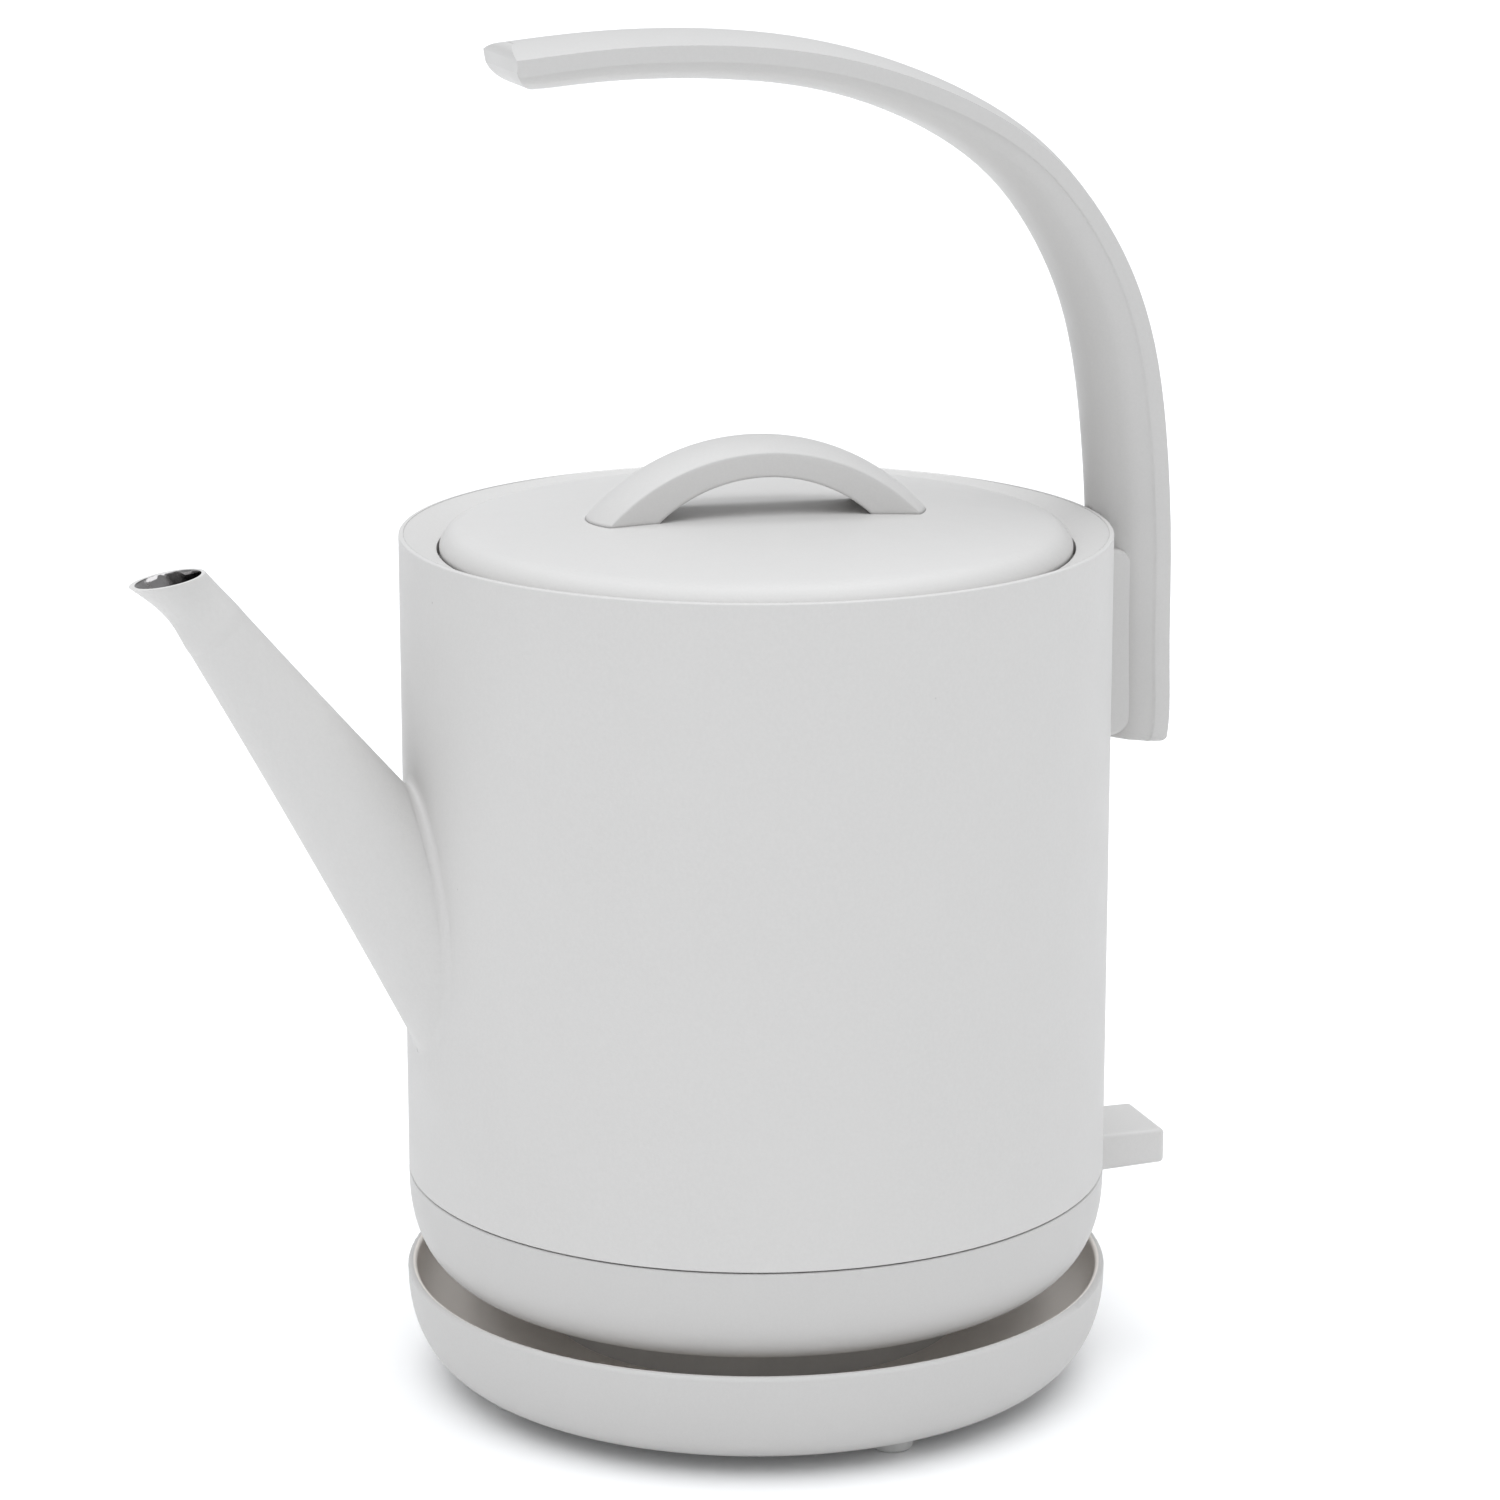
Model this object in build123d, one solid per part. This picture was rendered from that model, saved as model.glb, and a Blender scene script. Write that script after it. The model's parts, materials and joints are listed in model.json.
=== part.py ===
from build123d import *
import math
import os

# Cordless electric pouring kettle on a dish-shaped power base.  Millimetres, +Z up, z = 0 at the table.
# Every piece is drawn round the body axis, with the handle and the switch lever on +X and the spout on -X.
# The finished pieces are then moved by ORIGIN_SHIFT, which puts the origin under the middle of the outer box.

# ---- heights of the kettle
FOOT_H = 2.5
LIP_Z = 24.5
COVER_BOTTOM_Z = 23.8
COVER_TOP_Z = 46.6
SHELL_BOTTOM_Z = 47.0
PLATE_Z = 52.0
RIM_Z = 185.0

# ---- kettle body
BODY_R = 75.0
SHELL_T = 1.0
COVER_T = 2.2
COVER_FLAT_R = 57.5
COVER_SQUARENESS = 2.45
RECESS_R = 28.0
RECESS_Z = 34.0
POST_R = 51.5
POST_ANGLES = (60, 180, 300)

# ---- collar and lid
FUNNEL_R = 67.1
FUNNEL_Z = 181.7
SEAT_Z = 178.5
THROAT_R = 62.5
LID_R = 66.5
LID_WIDEST_Z = 182.0
LID_TOP_Z = 189.2
LID_DROP = 0.00075
LID_TURN = -4.8
KNOB_W = 18.5
KNOB_EDGE_R = 45.7
KNOB_EDGE_Z = 202.6
KNOB_CROWN = 2.3
KNOB_ARCH_R = 33.6
KNOB_ARCH_Z = 197.6

# ---- spout: a nearly straight cone with an oval section that widens towards the body
SPOUT_TIP = (-120.4, 177.7)
SPOUT_SLOPE = 55.6
SPOUT_TIP_R = 6.1
SPOUT_TAPER = 0.0945
SPOUT_BELL = 0.0002
SPOUT_SPREAD = 0.0016
SPOUT_WALL = 0.9
MOUTH_FRONT = (-133.2, 180.9)
MOUTH_BACK = (-117.6, 183.6)
MOUTH_HALF_W = 6.9

# ---- handle: a crowned band that follows this edge line from the free tip down to the foot
HANDLE_LINE = [(-54.4, 285.7), (-38.0, 287.2), (-20.0, 287.7), (-4.0, 286.9), (13.0, 284.4), (30.5, 279.3),
               (47.5, 271.7), (62.5, 260.6), (74.2, 245.9), (82.2, 228.8), (87.0, 205.0), (88.8, 177.0),
               (89.0, 152.0), (89.0, 143.0), (88.8, 136.7)]
HANDLE_W = 26.0
HANDLE_CROWN = 2.2
HANDLE_END_ROUND = 1.6
ARM_DEPTH = 7.7
GRIP_DEPTH = 13.5
TIP_THINNING = 0.9
ARM_SQUARENESS = 2.5
GRIP_SQUARENESS = 2.1
HANDLE_SCREW_Z = (150.0, 170.0)
PAD_W = 21.0
PAD_TOP_Z = 177.6
PAD_BOTTOM_Z = 136.8

# ---- switch lever and trip rocker
LEVER_W = 20.0
LEVER_END_X = 91.6
LEVER_TOP_Z = 46.4
LEVER_BOTTOM_Z = 37.7
LEVER_PIVOT = (58.0, 42.4)
LEVER_PIN_R = 1.0
SKIRT_R = 13.2
ROCKER_PIVOT = (38.0, 43.5)
ROCKER_PIN_R = 0.8

# ---- power base
TRAY_R = 75.6
TRAY_FLAT_R = 60.0
TRAY_SQUARENESS = 2.2
TRAY_LIP_T = 2.0
TRAY_FLOOR_Z = 12.5
PLATEAU_R = 44.0
PLATEAU_Z = 23.5
BOSS_R = 25.0
BOSS_Z = 33.5
BASE_PLATE_R = 51.0
BASE_PLATE_T = 1.8
FOOT_R = 4.5
FOOT_CIRCLE_R = 58.5
GLAND_ANGLE = 56.0
GLAND_Z = 7.3
GLAND_R = 4.0
CORD_HOLE_R = 3.1

# ---- plug-in connector
SOCKET_R = 18.8
SLOT_IN_R = 8.0
SLOT_OUT_R = 12.0
SLOT_Z = 20.0
SPIGOT_IN_R = 8.6
SPIGOT_OUT_R = 11.3
SPIGOT_Z = 22.6
PIN_R = 2.0

# ---- middle of the outer box, halfway between the spout's lip and the handle's back
ORIGIN_SHIFT = 20.7

# ---- heater
DIFFUSER_R = 46.5
DIFFUSER_T = 3.4
ELEMENT_RING_R = 42.0
ELEMENT_TUBE_R = 3.3


def cylinder(radius, z0, z1, x=0.0, y=0.0):
    """Upright cylinder between two heights."""
    return Pos(x, y, (z0 + z1) / 2) * Cylinder(radius, z1 - z0)


def tube(r_out, r_in, z0, z1, x=0.0, y=0.0):
    """Upright tube between two heights."""
    return cylinder(r_out, z0, z1, x, y) - cylinder(r_in, z0 - 1, z1 + 1, x, y)


def block(x0, x1, y0, y1, z0, z1):
    """Box between two corners."""
    return Pos((x0 + x1) / 2, (y0 + y1) / 2, (z0 + z1) / 2) * Box(x1 - x0, y1 - y0, z1 - z0)


def cross_rod(radius, x, z, y0, y1):
    """Rod along Y."""
    return Pos(x, (y0 + y1) / 2, z) * Rot(90, 0, 0) * Cylinder(radius, y1 - y0)


def radial_rod(radius, x0, x1, z, y=0.0):
    """Rod along X."""
    return Pos((x0 + x1) / 2, y, z) * Rot(0, 90, 0) * Cylinder(radius, x1 - x0)


def around(shape, angles):
    """The same piece turned to several angles round the body axis."""
    return [Rot(0, 0, angle) * shape for angle in angles]


def spun(points):
    """Solid of revolution of a straight-sided outline given as (radius, height) points."""
    outline = Polyline(*[(r, 0, z) for r, z in points], close=True)
    return revolve(make_face(outline), Axis.Z)


def rounded_under(r_wall, z_wall, r_flat, z_flat, squareness, steps=9):
    """Points of the curve that turns a vertical wall under into a flat bottom."""
    points = []
    for i in range(steps + 1):
        a = math.pi / 2 * i / steps
        r = r_flat + (r_wall - r_flat) * math.cos(a) ** (2 / squareness)
        z = z_wall - (z_wall - z_flat) * math.sin(a) ** (2 / squareness)
        points.append((r, 0, z))
    return points


def solids(shape, shift=0.0):
    """A plain compound of the separate solids of a group, each moved along X by shift."""
    items = shape if isinstance(shape, (list, tuple)) else [shape]
    found = [Pos(shift, 0, 0) * s for item in items for s in item.solids()]
    return found[0] if len(found) == 1 else Compound(children=found)


# ---------------------------------------------------------------- kettle body

def oval(half_x, half_y, steps=16):
    """Closed oval face that always starts on its own +x side."""
    points = []
    for i in range(steps):
        a = 2 * math.pi * i / steps
        points.append((half_x * math.cos(a), half_y * math.sin(a)))
    return make_face(Spline(*points, periodic=True))


def spout_section(s, inset=0.0):
    """Oval section of the spout, s mm down the axis from the tip."""
    slope = math.radians(SPOUT_SLOPE)
    x = SPOUT_TIP[0] + s * math.cos(slope)
    z = SPOUT_TIP[1] - s * math.sin(slope)
    r = SPOUT_TIP_R + s * SPOUT_TAPER + s * s * SPOUT_BELL
    half_w = r * (1.03 + SPOUT_SPREAD * s)
    across = Plane(origin=(x, 0, z), x_dir=(0, 1, 0), z_dir=(math.cos(slope), 0, -math.sin(slope)))
    return across * oval(half_w - inset, r - inset)


def mouth_section(front, back, half_w, inset=0.0, lift=0.0):
    """Oval section through a front and a back point of the spout's mouth."""
    dx = back[0] - front[0]
    dz = back[1] - front[1]
    length = math.hypot(dx, dz)
    normal = (dz / length, 0, -dx / length)
    centre = ((front[0] + back[0]) / 2 - normal[0] * lift, 0, (front[1] + back[1]) / 2 - normal[2] * lift)
    across = Plane(origin=centre, x_dir=(0, 1, 0), z_dir=normal)
    return across * oval(half_w - inset, length / 2 - inset)


def spout_loft(inset=0.0, lift=0.0):
    """Solid spout shape, or its bore when inset is the wall thickness."""
    mouth = [mouth_section(MOUTH_FRONT, MOUTH_BACK, MOUTH_HALF_W, inset, lift),
             mouth_section((-130.1, 178.5), (-116.7, 182.5), 6.6, inset),
             mouth_section((-127.2, 175.9), (-115.6, 181.2), 6.35, inset),
             spout_section(4.0, inset), spout_section(9.0, inset)]
    cone = [spout_section(s, inset) for s in (9.0, 38.0, 67.0, 96.0, 125.0)]
    return loft(mouth) + loft(cone)


def strainer_holes():
    """Rows of round holes through the shell inside the spout's root."""
    holes = []
    for row in range(6):
        z = 86.0 + 8.0 * row
        count = 3 if row in (0, 5) else 4
        for i in range(count):
            angle = 180 + 5.2 * (i - (count - 1) / 2)
            holes.append(Rot(0, 0, angle) * radial_rod(2.2, BODY_R - 4, BODY_R + 4, z))
    return holes


def body_shell():
    """Straight steel wall of the kettle, pierced behind the spout."""
    wall = tube(BODY_R, BODY_R - SHELL_T, SHELL_BOTTOM_Z, RIM_Z)
    rim_edge = wall.edges().group_by(Axis.Z)[-1].sort_by(SortBy.LENGTH)[-1]
    return fillet(rim_edge, 0.4) - strainer_holes()


def rim_collar():
    """Pressed collar inside the rim: a funnel down to the lid's seat and the throat below it."""
    top_r = BODY_R - SHELL_T
    outline = [(top_r, RIM_Z - 0.05), (FUNNEL_R, FUNNEL_Z), (FUNNEL_R, SEAT_Z), (THROAT_R, SEAT_Z),
               (THROAT_R, SEAT_Z - 9.5), (THROAT_R + 0.8, SEAT_Z - 9.5), (THROAT_R + 0.8, SEAT_Z - 0.8),
               (FUNNEL_R + 0.8, SEAT_Z - 0.8), (FUNNEL_R + 0.8, FUNNEL_Z - 0.5), (top_r - 0.8, RIM_Z - 2.2),
               (top_r - 0.8, RIM_Z - 9.0), (top_r, RIM_Z - 9.0)]
    return spun(outline)


def spout():
    """Tapered spout with a slanted mouth that flares to a small lip, welded to the shell."""
    shape = spout_loft() - spout_loft(SPOUT_WALL, 0.4)
    return shape - cylinder(BODY_R, 0, 250)


def corner_cut(x, z, radius, toward_x, toward_z):
    """What is removed to round a corner of the handle, seen from its side."""
    far_x = x + toward_x * (radius + 3)
    far_z = z + toward_z * (radius + 3)
    corner = block(min(x, far_x), max(x, far_x), -20, 20, min(z, far_z), max(z, far_z))
    return corner - cross_rod(radius, x, z, -21, 21)


def handle_plane(line, t):
    """Section plane at fraction t of the handle's edge line: x across the band, y outwards."""
    point = line @ t
    tangent = line % t
    outward = (-tangent.Z, 0, tangent.X)
    if t > 0.5 and outward[0] < 0 or t <= 0.5 and outward[2] < 0:
        outward = (tangent.Z, 0, -tangent.X)
    x_dir = (0, 1, 0)
    normal = Vector(*x_dir).cross(Vector(*outward))
    return Plane(origin=point, x_dir=x_dir, z_dir=normal)


def handle_section(plane, depth, squareness, inset=0.0):
    """Crowned outer face with crisp edges over a deep rounded inner side, all drawn in by the inset."""
    half = HANDLE_W / 2 - inset
    depth -= inset
    crown = ThreePointArc((-half, -inset), (0, HANDLE_CROWN - inset), (half, -inset))
    points = [(half, -inset)]
    for i in range(1, 12):
        a = math.pi * i / 12
        across = abs(math.cos(a)) ** (2 / squareness)
        down = math.sin(a) ** (2 / squareness)
        points.append((math.copysign(half * across, math.cos(a)), -inset - (depth - inset) * down))
    points.append((-half, -inset))
    inner = Spline(*points, tangents=[(0, -1), (0, 1)])
    return plane * make_face([crown, inner])


def rounded_foot(line):
    """Last stretch of the grip, drawn in so that its lower edge is a quarter round."""
    end = handle_plane(line, 1.0)
    sections = []
    for i in range(5):
        a = math.pi / 2 * i / 4
        centre = end.origin + (line % 1.0) * (HANDLE_END_ROUND * math.sin(a))
        plane = Plane(origin=centre, x_dir=end.x_dir, z_dir=end.z_dir)
        inset = HANDLE_END_ROUND * (1 - math.cos(a))
        sections.append(handle_section(plane, GRIP_DEPTH, GRIP_SQUARENESS, inset))
    return loft(sections)


def handle_solid():
    """The whole band before its screw holes."""
    line = Spline(*[(x, 0, z) for x, z in HANDLE_LINE])
    sections = []
    for i in range(15):
        t = i / 14
        ramp = min(1.0, max(0.0, (t - 0.28) / 0.45))
        blend = ramp * ramp * (3 - 2 * ramp)
        depth = ARM_DEPTH + (GRIP_DEPTH - ARM_DEPTH) * blend
        depth -= TIP_THINNING * max(0.0, 1 - t / 0.1) ** 2
        squareness = ARM_SQUARENESS + (GRIP_SQUARENESS - ARM_SQUARENESS) * blend
        sections.append(handle_section(handle_plane(line, t), depth, squareness))
    shape = loft(sections) + rounded_foot(line)
    shape -= corner_cut(-48.4, 285.0, 6.0, -1, -1)
    return shape - corner_cut(-52.1, 285.7, 2.3, -1, 1)


HANDLE_BAND = handle_solid()


def handle_screw_holes(r_shank, r_head):
    """Stepped holes from the outer face of the handle towards the pad."""
    shapes = []
    for z in HANDLE_SCREW_Z:
        shapes.append(radial_rod(r_shank, 74.0, 84.0, z))
        shapes.append(radial_rod(r_head, 84.0, 95.0, z))
    return shapes


def handle():
    """Open handle: a vertical grip that curves over into a free arm above the lid."""
    return HANDLE_BAND - cylinder(BODY_R + 0.25, 100, RIM_Z + 0.3) - handle_screw_holes(2.1, 4.0)


def handle_bracket():
    """Rounded pad between the shell and the handle."""
    x_out = 82.4
    x_in = 70.0
    outline = Polyline((x_in, 0, PAD_BOTTOM_Z), (x_out, 0, PAD_BOTTOM_Z), (x_out, 0, PAD_TOP_Z),
                       (x_in, 0, PAD_TOP_Z), close=True)
    pad = extrude(make_face(outline), PAD_W / 2, dir=(0, 1, 0), both=True)
    pad = fillet(pad.edges().filter_by(Axis.Y).group_by(Axis.X)[-1], 5.5)
    pad = fillet(pad.faces().sort_by(Axis.Y)[-1].edges() + pad.faces().sort_by(Axis.Y)[0].edges(), 1.2)
    pad = pad - cylinder(BODY_R, 100, 200) - HANDLE_BAND
    holes = [radial_rod(2.0, 70.0, 84.0, z) for z in HANDLE_SCREW_Z]
    return max((pad - holes).solids(), key=lambda s: s.volume)


def handle_screws():
    """Two cap screws that hold the handle on its pad."""
    screws = []
    for z in HANDLE_SCREW_Z:
        head = radial_rod(3.7, 84.0, 87.0, z) - radial_rod(1.5, 85.4, 88.0, z)
        screws.append(radial_rod(1.95, 75.4, 84.2, z) + head)
    return solids(screws)


def screw_plugs():
    """Two round plugs, flush with the handle's outer face, over the screws."""
    return solids([radial_rod(3.9, 87.4, 95.0, z) & HANDLE_BAND for z in HANDLE_SCREW_Z])


# ---------------------------------------------------------------- underside of the kettle

def lower_cover():
    """Moulded cover under the shell: rounded edge, central recess, screw bosses and lever ears."""
    outer = rounded_under(BODY_R, COVER_TOP_Z - 0.6, COVER_FLAT_R, COVER_BOTTOM_Z, COVER_SQUARENESS)
    inner = rounded_under(BODY_R - COVER_T, COVER_TOP_Z - 0.6, COVER_FLAT_R - 0.6,
                          COVER_BOTTOM_Z + COVER_T, COVER_SQUARENESS)
    wall_curve = Spline(*outer, tangents=[(0, 0, -1), (-1, 0, 0)])
    inner_curve = Spline(*inner, tangents=[(0, 0, -1), (-1, 0, 0)])
    rim = Polyline(inner_curve @ 0, (BODY_R - COVER_T, 0, COVER_TOP_Z), (BODY_R - 0.25, 0, COVER_TOP_Z),
                   (BODY_R, 0, COVER_TOP_Z - 0.25), wall_curve @ 0)
    floor = Polyline(wall_curve @ 1, (RECESS_R, 0, COVER_BOTTOM_Z), (RECESS_R, 0, RECESS_Z),
                     (14.5, 0, RECESS_Z), (14.5, 0, RECESS_Z + COVER_T),
                     (RECESS_R + COVER_T, 0, RECESS_Z + COVER_T),
                     (RECESS_R + COVER_T, 0, COVER_BOTTOM_Z + COVER_T), inner_curve @ 1)
    cover = revolve(make_face([wall_curve, floor, inner_curve, rim]), Axis.Z)
    cover += tube(BODY_R - 2.1, BODY_R - 4.0, 44.0, 50.5)
    cover += around(cylinder(5.0, COVER_BOTTOM_Z + 1, 30.0, POST_R), POST_ANGLES)
    for side in (-1, 1):
        cover += block(55.0, 61.0, min(side * 10.3, side * 12.3), max(side * 10.3, side * 12.3), 25.0, 45.4)
    cover -= around(cylinder(1.7, 20, 31, POST_R), POST_ANGLES)
    cover -= around(cylinder(3.3, 20, 26.8, POST_R), POST_ANGLES)
    cover -= cross_rod(LEVER_PIN_R + 0.02, LEVER_PIVOT[0], LEVER_PIVOT[1], -14, 14)
    cover -= block(66.0, 80.0, -LEVER_W / 2 - 0.6, LEVER_W / 2 + 0.6, 34.5, 60.0)
    cover -= block(66.0, 72.85, -13.5, 13.5, 43.5, 60.0)
    return cover


def cover_screws():
    """Three pan-head screws under the cover."""
    screw = cylinder(3.0, 24.6, 26.8, POST_R) + cylinder(1.45, 26.7, 40.0, POST_R)
    screw -= block(POST_R - 2.2, POST_R + 2.2, -0.4, 0.4, 24.0, 25.6)
    return solids(around(screw, POST_ANGLES))


def heating_plate():
    """Steel floor of the kettle with a turned-down edge and three threaded posts."""
    edge_r = BODY_R - SHELL_T
    plate = spun([(0, PLATE_Z), (edge_r - 0.8, PLATE_Z), (edge_r - 0.8, 48.2), (edge_r, 48.2),
                  (edge_r, PLATE_Z + 0.8), (0, PLATE_Z + 0.8)])
    plate += around(cylinder(2.6, 30.0, PLATE_Z + 0.2, POST_R), POST_ANGLES)
    plate -= around(cylinder(1.5, 29.0, 41.0, POST_R), POST_ANGLES)
    return plate - steam_hole(3.5)


def steam_hole(radius):
    """Space for the steam tube through the floor."""
    return Rot(0, 0, 25) * cylinder(radius, 40, 60, 59.0)


def steam_tube():
    """Open tube that leads steam from under the lid down to the switch."""
    return Rot(0, 0, 25) * tube(3.45, 2.8, 48.6, 166.0, 59.0)


def heat_diffuser():
    """Aluminium disc brazed under the floor."""
    return cylinder(DIFFUSER_R, PLATE_Z - DIFFUSER_T, PLATE_Z)


def heating_element():
    """Tubular heater bent to an open ring under the diffuser, open towards the switch."""
    z = PLATE_Z - DIFFUSER_T - ELEMENT_TUBE_R
    circle = Pos(ELEMENT_RING_R, 0, z) * Rot(90, 0, 0) * Circle(ELEMENT_TUBE_R)
    return Rot(0, 0, 32) * revolve(circle, Axis.Z, 296)


def element_terminals():
    """Flat tabs on the two cold ends of the heater."""
    z = PLATE_Z - DIFFUSER_T - ELEMENT_TUBE_R
    tabs = []
    for side in (-1, 1):
        pin = Rot(90, 0, 0) * Cylinder(1.2, 5.0)
        tab = Pos(-3.0, 1.9 * -side, 0) * Box(8.0, 1.0, 4.6)
        end = Rot(0, 0, 32 * side) * Pos(ELEMENT_RING_R, -2.5 * side, z) * (pin + tab)
        tabs.append(end)
    return solids(tabs)


def control_body():
    """Moulded thermostat and switch block with two ears for the trip rocker."""
    body = cylinder(24.0, 39.1, 46.2)
    body = fillet(body.edges().group_by(Axis.Z)[-1], 1.0)
    for side in (-1, 1):
        body += block(20.0, 41.0, min(side * 3.2, side * 4.8), max(side * 3.2, side * 4.8), 39.1, 46.2)
    body -= block(21.0, 45.0, -3.2, 3.2, 38.0, 47.0)
    body -= cylinder(9.4, 45.2, 47.0, -8.0)
    return body - cross_rod(ROCKER_PIN_R + 0.01, ROCKER_PIVOT[0], ROCKER_PIVOT[1], -6, 6)


def bimetal_disc():
    """Snap disc of the thermostat."""
    return cylinder(9.0, 45.25, 45.75, -8.0)


def kettle_connector():
    """Round plug under the kettle: flange and ring-shaped spigot."""
    plug = cylinder(18.0, RECESS_Z + COVER_T + 0.05, 39.0)
    plug += tube(14.2, SPIGOT_IN_R, RECESS_Z + 0.2, 37.0)
    plug += tube(SPIGOT_OUT_R, SPIGOT_IN_R, SPIGOT_Z, 37.0)
    plug -= cylinder(PIN_R, 30, 40)
    return plug


def connector_pins():
    """Centre pin and contact sleeve of the plug."""
    pin = cylinder(PIN_R - 0.01, 22.2, 39.0)
    pin = fillet(pin.edges().group_by(Axis.Z)[0], 0.8)
    sleeve = tube(SPIGOT_OUT_R + 0.4, SPIGOT_OUT_R + 0.01, 24.0, 31.0)
    return solids([pin, sleeve])


def lever_pin():
    """Steel pin that carries the switch lever."""
    return cross_rod(LEVER_PIN_R, LEVER_PIVOT[0], LEVER_PIVOT[1], -12.2, 12.2)


def rocker_pin():
    """Steel pin that carries the trip rocker."""
    return cross_rod(ROCKER_PIN_R, ROCKER_PIVOT[0], ROCKER_PIVOT[1], -4.7, 4.7)


# ---------------------------------------------------------------- switch

def switch_lever():
    """Box-shaped paddle with its hub, curved skirt and inner finger."""
    px, pz = LEVER_PIVOT
    half = LEVER_W / 2
    outline = Polyline((62.0, 0, LEVER_BOTTOM_Z), (LEVER_END_X, 0, LEVER_BOTTOM_Z + 1.0),
                       (LEVER_END_X, 0, LEVER_TOP_Z), (62.0, 0, LEVER_TOP_Z), close=True)
    paddle = extrude(make_face(outline), half, dir=(0, 1, 0), both=True)
    end_edges = paddle.faces().sort_by(Axis.X)[-1].edges()
    paddle = fillet(end_edges, 1.1)
    straight = paddle.edges().filter_by(GeomType.LINE)
    long_edges = [e for e in straight if e.length > 20 and abs(e.tangent_at(0).X) > 0.9]
    paddle = fillet(long_edges, 0.9)
    hub = cross_rod(3.2, px, pz, -9.6, 9.6)
    web = block(px, 63.0, -9.6, 9.6, pz - 2.6, pz + 2.6)
    ring = cross_rod(SKIRT_R, px, pz, -12.0, 12.0) - cross_rod(SKIRT_R - 1.2, px, pz, -13, 13)
    skirt = ring & block(px + 8.8, px + 15, -12, 12, pz - 9.2, pz + 2.0)
    finger = block(47.0, px, -3.0, 3.0, 41.0, 43.4)
    lever = paddle + hub + web + skirt + finger
    return lever - cross_rod(LEVER_PIN_R + 0.05, px, pz, -20, 20)


def trip_rocker():
    """Two-armed rocker that the lever's finger lifts to close the contacts."""
    px, pz = ROCKER_PIVOT
    hub = cross_rod(2.0, px, pz, -2.8, 2.8)
    outer_arm = block(px, 49.5, -2.6, 2.6, 43.8, 45.3)
    inner_arm = block(29.5, px, -2.6, 2.6, 42.6, 44.2)
    rocker = hub + outer_arm + inner_arm
    return rocker - cross_rod(ROCKER_PIN_R + 0.05, px, pz, -5, 5)


# ---------------------------------------------------------------- lid

def lid_height(r):
    """Height of the lid's gently domed top at radius r."""
    return LID_TOP_Z - LID_DROP * r * r


def lid_shell():
    """Domed lid with a soft, pillow-like edge, hollow underneath."""
    dome = ThreePointArc((0, 0, LID_TOP_Z), (30, 0, lid_height(30)), (60, 0, lid_height(60)))
    edge = Spline((60, 0, lid_height(60)), (64.7, 0, 185.1), (LID_R, 0, LID_WIDEST_Z), (65.6, 0, 179.6),
                  tangents=[(1, 0, -0.09), (-0.7, 0, -1)])
    under = Polyline((65.6, 0, 179.6), (64.6, 0, 178.8), (61.4, 0, 178.8), (61.4, 0, 183.8), (0, 0, 187.8),
                     (0, 0, LID_TOP_Z))
    return revolve(make_face([dome, edge, under]), Axis.Z) - knob_screw_holes()


def lid_inner_plate():
    """Steel inner skin of the lid: a flat pan with a rolled rim that holds the seal."""
    outside = [(0, 172.0), (61.2, 172.0), (61.2, 174.6), (59.4, 174.6), (59.4, 176.6), (61.2, 176.6),
               (61.2, 182.6)]
    inside = [(60.4, 182.6), (60.4, 177.4), (58.6, 177.4), (58.6, 173.8), (60.4, 173.8), (60.4, 172.8),
              (0, 172.8)]
    return spun(outside + inside)


def lid_seal():
    """Soft ring round the inner skin that drags lightly in the throat."""
    return spun([(59.5, 174.7), (61.9, 174.7), (62.1, 175.6), (61.9, 176.5), (59.5, 176.5)])


def lid_knob():
    """Arched flat band with pointed feet, a crowned top and a crisp edge."""
    half = KNOB_W / 2
    centre_z = KNOB_EDGE_Z - KNOB_EDGE_R
    crown = ThreePointArc((0, -half, KNOB_EDGE_Z), (0, 0, KNOB_EDGE_Z + KNOB_CROWN), (0, half, KNOB_EDGE_Z))
    root = half * 0.93
    sides = Polyline((0, half, KNOB_EDGE_Z), (0, root, KNOB_EDGE_Z - 13), (0, -root, KNOB_EDGE_Z - 13),
                     (0, -half, KNOB_EDGE_Z))
    axis = Axis((0, 0, centre_z), (0, 1, 0))
    section = make_face([crown, sides])
    band = revolve(section.rotate(axis, -52), axis, 104)
    arch = cross_rod(KNOB_ARCH_R, 0, KNOB_ARCH_Z - KNOB_ARCH_R, -20, 20)
    knob = band - arch - block(-80, 80, -20, 20, 100, 186.0)
    dome = ThreePointArc((0, 0, LID_TOP_Z), (30, 0, lid_height(30)), (60, 0, lid_height(60)))
    below = Polyline((60, 0, lid_height(60)), (60, 0, 170), (0, 0, 170), (0, 0, LID_TOP_Z))
    knob = knob - revolve(make_face([dome, below]), Axis.Z)
    return Rot(0, 0, LID_TURN) * solids(knob) - knob_screw_holes()


def knob_screws():
    """Two screws up through the lid into the feet of the knob."""
    screw = cylinder(2.6, 184.6, 186.25, 27.5) + cylinder(1.25, 186.0, 192.5, 27.5)
    return solids([Rot(0, 0, LID_TURN) * s for s in around(screw, (0, 180))])


def knob_screw_holes():
    """Holes for the knob's screws."""
    hole = cylinder(1.3, 180, 193.0, 27.5) + cylinder(2.7, 180.0, 186.3, 27.5)
    return [Rot(0, 0, LID_TURN) * s for s in around(hole, (0, 180))]


# ---------------------------------------------------------------- power base

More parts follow.
